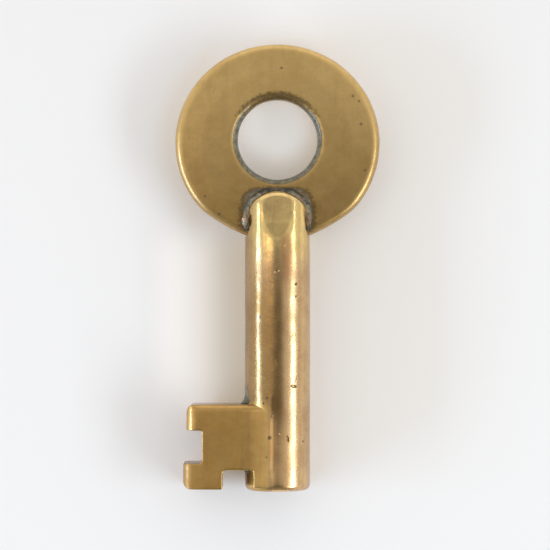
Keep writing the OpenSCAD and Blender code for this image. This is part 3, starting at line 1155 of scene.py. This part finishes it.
# %% Where the tints of the bit and the bow change
def lower_tooth(tree, mm):
    """The outer half of the bit's lower tooth, which is duller than the upper one."""
    low = ("Y", SIDE_CUT_Y[0] + 0.6, SIDE_CUT_Y[0] - 0.2)
    return within(tree, mm, low, ("X", SIDE_CUT_X + 0.5, SIDE_CUT_X - 0.8))


DOWN_RIGHT = (0.1, -0.99, 0)


def lower_right_shade(tree, mm):
    """Towards the lower right of the bow, which is painted darker and browner as shade."""
    place = add_node(tree, "VectorMath", {0: mm, 1: DOWN_RIGHT}, operation="DOT_PRODUCT")
    middle = DOWN_RIGHT[1] * BOW_Y
    return all_of(tree, (place.outputs["Value"], middle - 9, middle + 9))


# %% [markdown]
# The tints are read from the photo where no reflection lies on the metal. The bow is olive, the barrel is
# polished by hands, and the bit is browner and duller. Three blends paint light into the colour: painted
# shade on the bow's lower right and on the barrel's left flank, and a painted highlight on the barrel's
# ridge.

# %% Dress the brass pieces
# Each tint: bare, tarnished and bright brass, and roughness
BOW_TINT = ("#E4BE76", "#CEA965", "#F4DDB8", 0.28)
# The bow's lower right is painted darker and browner, as shade
BOW_SHADED_TINT = ("#C09C5B", "#AB874C", "#EED2A8", 0.28)
BIT_TINT = ("#D6AB62", "#C0934C", "#F3D9AC", 0.26)
TOOTH_TINT = ("#CCA25E", "#B78C49", "#E0BE8A", 0.42)
BARREL_TINT = ("#DAB682", "#BE9566", "#F2D8B4", 0.14)
BARREL_BLENDS = (
    (("#F4D286", "#D9B878", "#F6E2BC", 0.05), near_bow),
    # A darker crest, and painted shade on the left flank
    (("#A78652", "#907040", "#F0D6B0", 0.14), dark_crest_and_shaded_flank),
    (("#BA8656", "#A97647", "#EBCBA4", 0.14), red_film),
    (("#F0C486", "#D8AC74", "#F6DDB4", 0.14), low_crest),
    (("#CCA45A", "#B68D4A", "#F3D9AC", 0.26), near_bit),
    # Painted highlight along the ridge
    (("#FFCE84", "#F8BC6E", "#FFDAA0", 0.38), ridge_highlight),
)
olive = worn_brass("olive worn brass", BOW_TINT, 0.2, 0.1, bow_dirt_and_shade, ((BOW_SHADED_TINT, lower_right_shade),))
brown = worn_brass("brown worn brass", BIT_TINT, 0.9, 0.1, None, ((TOOTH_TINT, lower_tooth),))
polished = worn_brass(
    "hand-polished brass", BARREL_TINT, 0.4, 0.35, barrel_dirt, BARREL_BLENDS, VERDIGRIS
)
bow.data.materials.append(olive)
bit.data.materials.append(brown)
for piece in (barrel, *fillets.values()):
    piece.data.materials.append(polished)
for material in (olive, brown, polished):
    print(f"{material.name}: {len(material.node_tree.nodes)} nodes")

# %% [markdown]
# ### Sooty braze
#
# The undressed braze is a spongy crust of filler metal and flux. It has gone grey-green and holds soot,
# darker at its top and at its foot, with bare copper-coloured points where the crust has rubbed off. Next
# to the barrel's end it is painted paler, as a painted highlight in the crease, and darker further out.
# The crust isn't metal and is nearly matt, and the bare points are metal.

# %% The crust's material
BRAZE_PATTERNS = {
    "grit": (2.4, 5, 0.7),  # the sponge, 0.4 mm wide
    "patches": (0.8, 3, 0.6),  # browner and greyer patches, a little over 1 mm wide
    "sparkle": (4.5, 2, 0.5),  # bare points on the bead, a little over 0.2 mm wide
}
CRUST_MM = 0.08
SOOT = ("#3F3426", "#3A3B31")
FLUX = ("#917A5A", "#9C997F")
CORNER_GREEN = "#868B74"
BARE_FILLER = "#EBC6A8"


def sooty_braze(name):
    """Grey-green crust with bare metal on its highest points and on the bead."""
    material, tree, mm, found = start_material(name, ("proud", "bead"), BRAZE_PATTERNS)
    patchy = all_of(tree, (found["patches"], 0.38, 0.62))
    soot = lay_on(tree, SOOT[0], (patchy, SOOT[1]))
    flux = lay_on(tree, FLUX[0], (patchy, FLUX[1]))
    # Painted highlight: paler in the crease next to the barrel's end, darker further out
    from_nose = distance_from(tree, mm, (0, NOSE_Y, 0))
    crease_highlight = all_of(tree, (from_nose, BARREL_R + 0.8, BARREL_R + 0.1, -0.14, 0.12))
    at_top = within(tree, mm, ("Y", BARREL_TOP - 0.6, BARREL_TOP, 0.0, -0.14))
    at_foot = within(tree, mm, ("Y", 32.4, 31.8, 0.0, -0.18))
    paleness = found["grit"]
    for change in (crease_highlight, at_top, at_foot):
        paleness = add_node(tree, "Math", {0: paleness, 1: change}, operation="ADD").outputs[0]
    pale = all_of(tree, (paleness, 0.38, 0.70))
    in_corner = within(tree, mm, ("Y", 20.0, 15.0, 0.0, 0.65))
    on_bead = all_of(tree, found["bead"], (found["sparkle"], 0.42, 0.54))
    bare = any_of(tree, all_of(tree, (found["proud"], 0.07, 0.14)), on_bead)
    colour = lay_on(tree, soot, (pale, flux), (in_corner, CORNER_GREEN), (bare, BARE_FILLER))
    rough = all_of(tree, (bare, 0.0, 1.0, 0.75, 0.22))
    bump = add_node(tree, "Bump", {"Height": found["grit"], "Strength": 1.0, "Distance": CRUST_MM * METRE})
    finish = {"Base Color": colour, "Metallic": bare, "Roughness": rough, "Normal": bump.outputs[0]}
    plug_in(tree, tree.nodes["Principled BSDF"], finish)
    return material


braze = sooty_braze("sooty braze")
for piece in seams.values():
    piece.data.materials.append(braze)
print(f"{braze.name}: {len(braze.node_tree.nodes)} nodes")

# %% [markdown]
# ## The floor
#
# The key lies on its back on a plain pale sheet of matt card, so the sheet touches the lowest line of the
# barrel. A soft bed would rise round the key, take light through the ring hole and catch more of it a
# little way left of the barrel. A flat sheet can't, so part of its paleness is a glow that only the
# camera and reflections see, which keeps its shadows soft. The glow is stronger in the ring hole and
# about 11 mm left of the barrel.

# %% The floor and its glow
FLOOR_Z = -BARREL_R * METRE
FLOOR_GLOW = 0.18
HOLE_GLOW = 0.43
RISE_GLOW = 0.14
GLOW_WHITE = "#FFF0DC"
HOLE_WHITE = "#F3F5F6"
floor = start_piece("pale_floor", bpy.ops.mesh.primitive_plane_add, size=3, location=(0, 0, FLOOR_Z))
sheet, tree, mm, _ = start_material("pale matt card")
rays = add_node(tree, "LightPath").outputs
seen = any_of(tree, *(rays[f"Is {kind} Ray"] for kind in ("Camera", "Glossy", "Transmission")))
from_hole = distance_from(tree, mm, (0, HOLE_Y + 1.8, 0))
hole_ramp = (from_hole, HOLE_R + 1.5, HOLE_R - 2.5)
in_hole = all_of(tree, (*hole_ramp, FLOOR_GLOW, HOLE_GLOW))
rise = within(
    tree, mm, ("X", -16.7, -11.7, 0.0, RISE_GLOW), ("X", -5.7, -10.7), ("Y", 8.0, 15.0), ("Y", 34.0, 28.0)
)
glow = add_node(tree, "Math", {0: in_hole, 1: rise}, operation="ADD").outputs[0]
glow_colour = lay_on(tree, GLOW_WHITE, (all_of(tree, hole_ramp), HOLE_WHITE))
print(f"floor at {FLOOR_Z / METRE:.2f} mm")

# %% [markdown]
# Left of the brass, beside the barrel and more faintly beside the bow, the sheet is painted darker and
# warmer: a painted shadow, warmed by the light that the brass throws on it.

# %% The floor's colour
CARD_WHITE = "#ECEAE5"
# Painted shadow: darker and warmer than the sheet
CARD_WARM_SHADOW = "#DCD0B8"
by_barrel = within(tree, mm, ("X", -11.5, -3.8), ("X", 2.0, -2.0), ("Y", 7.0, 13.0), ("Y", 35.0, 27.0))
from_bow = distance_from(tree, mm, (0, BOW_Y, 0))
round_bow = (from_bow, BOW_W / 2 + 4.0, BOW_W / 2 + 0.2, 0.0, 0.35)
by_bow = all_of(tree, round_bow, within(tree, mm, ("X", -6.0, -10.0)))
card = lay_on(tree, CARD_WHITE, (any_of(tree, by_barrel, by_bow), CARD_WARM_SHADOW))
plug_in(tree, tree.nodes["Principled BSDF"], {
    "Base Color": card,
    "Roughness": 0.9,
    "Emission Color": glow_colour,
    "Emission Strength": all_of(tree, seen, glow),
})
floor.data.materials.append(sheet)
print(f"{sheet.name}: {len(tree.nodes)} nodes")

# %% [markdown]
# ## Light
#
# Metal shows its surroundings, so the light is drawn as a room. The room is pale all round, and darker
# at the key's lower end. The camera and its stand keep the light off overhead, so a dark patch lies
# there, a little towards that end. The flat faces show its edge, which is why the bow is lighter at its
# top. A second, fainter patch lies beyond it, where the ramp at the foot of the flat looks. The wall at
# the far end is lighter than the rest of the room, which lights the edges that face it.

# %% The room
ROOM = 0.74
NEAR_WALL = 0.28
FAR_WALL = 1.15
# Each patch: where in the room it lies, the angles from there, in degrees, where it starts and where it
# is full, and how light it is
DARK_PATCH = {"at": Vector((0.02, -0.342, 0.938)).normalized(), "edge": (38.5, 4), "strength": 0.12}
RAMP_TURN = math.radians(24)
RAMP_PATCH = {"at": Vector((0, math.sin(RAMP_TURN), math.cos(RAMP_TURN))), "edge": (22, 4), "strength": 0.42}
world = bpy.data.worlds.new("pale room")
bpy.context.scene.world = world
world.use_nodes = True
tree = world.node_tree
toward = add_node(tree, "TexCoord").outputs["Generated"]
axes = add_node(tree, "SeparateXYZ", {0: toward}).outputs
azimuth = add_node(tree, "Math", {0: axes["X"], 1: axes["Y"]}, operation="ARCTAN2").outputs[0]
turned = add_node(tree, "Math", {0: azimuth}, operation="ABSOLUTE").outputs[0]
near_wall = all_of(tree, (turned, math.radians(125), math.radians(150)))
strength = all_of(tree, (near_wall, 0.0, 1.0, ROOM, NEAR_WALL))
far_wall = all_of(tree, (turned, math.radians(60), math.radians(25)), (axes["Z"], 0.55, 0.30))
strength = add_node(tree, "Mix", {0: far_wall, 2: strength, 3: FAR_WALL}).outputs[0]
for patch in (RAMP_PATCH, DARK_PATCH):
    facing = add_node(tree, "VectorMath", {0: toward, 1: patch["at"]}, operation="DOT_PRODUCT")
    off_it = add_node(tree, "Math", {0: facing.outputs["Value"]}, operation="ARCCOSINE").outputs[0]
    on_it = all_of(tree, (off_it, *(math.radians(angle) for angle in patch["edge"])))
    strength = add_node(tree, "Mix", {0: on_it, 2: strength, 3: patch["strength"]}).outputs[0]
plug_in(tree, tree.nodes["Background"], {"Color": "#FFFFFF", "Strength": strength})
print(f"{world.name}: {len(tree.nodes)} nodes")

# %% [markdown]
# A soft box stands low on each side, and the two draw the long highlights on the barrel. Each fades into
# a thin glow at its far end, so the highlights are narrower and dimmer on the barrel's upper half. Three
# small warm cards hang close to the barrel on the left. They give the warm streaks left of the crest, as
# anything warm and near would.

# %% Soft boxes and warm cards
BOX_FAR = 0.5
CARD_FAR = 0.12


def soft_box(name, side, lean, width, ends, radiance, colour, far=BOX_FAR):
    """A soft box or card on the right (side 1) or the left (side -1), that leans from the zenith and faces
    the barrel's axis. Lean and width are angles in degrees. The ends are its lower and upper end along the
    key in metres, and a radiance of 1 is white paper in full light."""
    lamp = bpy.data.lights.new(name, "AREA")
    lamp.shape = "RECTANGLE"
    lamp.size = 2 * far * math.tan(math.radians(width) / 2)
    lamp.size_y = ends[1] - ends[0]
    lamp.energy = radiance * lamp.size * lamp.size_y * math.pi
    lamp.color = to_linear(colour)[:3]
    box = bpy.data.objects.new(name, lamp)
    bpy.context.scene.collection.objects.link(box)
    turn = Matrix.Rotation(math.radians(side * lean), 4, "Y")
    box.matrix_world = Matrix.Translation((0, sum(ends) / 2, 0)) @ turn @ Matrix.Translation((0, 0, far))
    print(f"{name}: {lamp.size:.2f} x {lamp.size_y:.2f} m, {lamp.energy:.1f} W")


soft_box("right soft box", 1, 57, 16, (-0.40, 0.018), 7.4, "#DFEDFF")
soft_box("left soft box", -1, 71, 9, (-0.34, 0.022), 19.0, "#BBD5FF")
soft_box("right glow", 1, 57, 6, (0.018, 0.30), 1.5, "#CBD7FF")
soft_box("left glow", -1, 69, 3, (0.022, 0.24), 1.5, "#CBD7FF")
soft_box("warm card", -1, 33, 36, (0.0243, 0.0351), 1.05, "#FFDFB8", CARD_FAR)
soft_box("narrow warm card", -1, 18, 3, (0.0035, 0.0105), 1.8, "#FFC98C", CARD_FAR)
soft_box("pale warm card", -1, 27, 24, (0.0280, 0.0351), 0.7, "#FFE8D0", CARD_FAR)

# %% [markdown]
# ## The camera
#
# The photo is taken from straight above. The camera hangs 400 mm over the barrel's axis, and its lens is
# as long as makes one pixel of the 550 cover the size that was measured in the photo.

# %% Camera
FRAME_PX = 550
MM_PER_PX = 0.12108
FRAME_CENTRE = (-0.303, 26.07)
CAMERA_HIGH = 400
SENSOR_MM = 36
camera_data = bpy.data.cameras.new("camera")
camera_data.sensor_width = SENSOR_MM
camera_data.lens = SENSOR_MM * CAMERA_HIGH / (FRAME_PX * MM_PER_PX)
camera = bpy.data.objects.new("camera", camera_data)
bpy.context.scene.collection.objects.link(camera)
camera.location = Vector((*FRAME_CENTRE, CAMERA_HIGH)) * METRE
bpy.context.scene.camera = camera
bpy.context.scene.view_settings.view_transform = "Standard"
print(f"lens {camera_data.lens:.1f} mm")
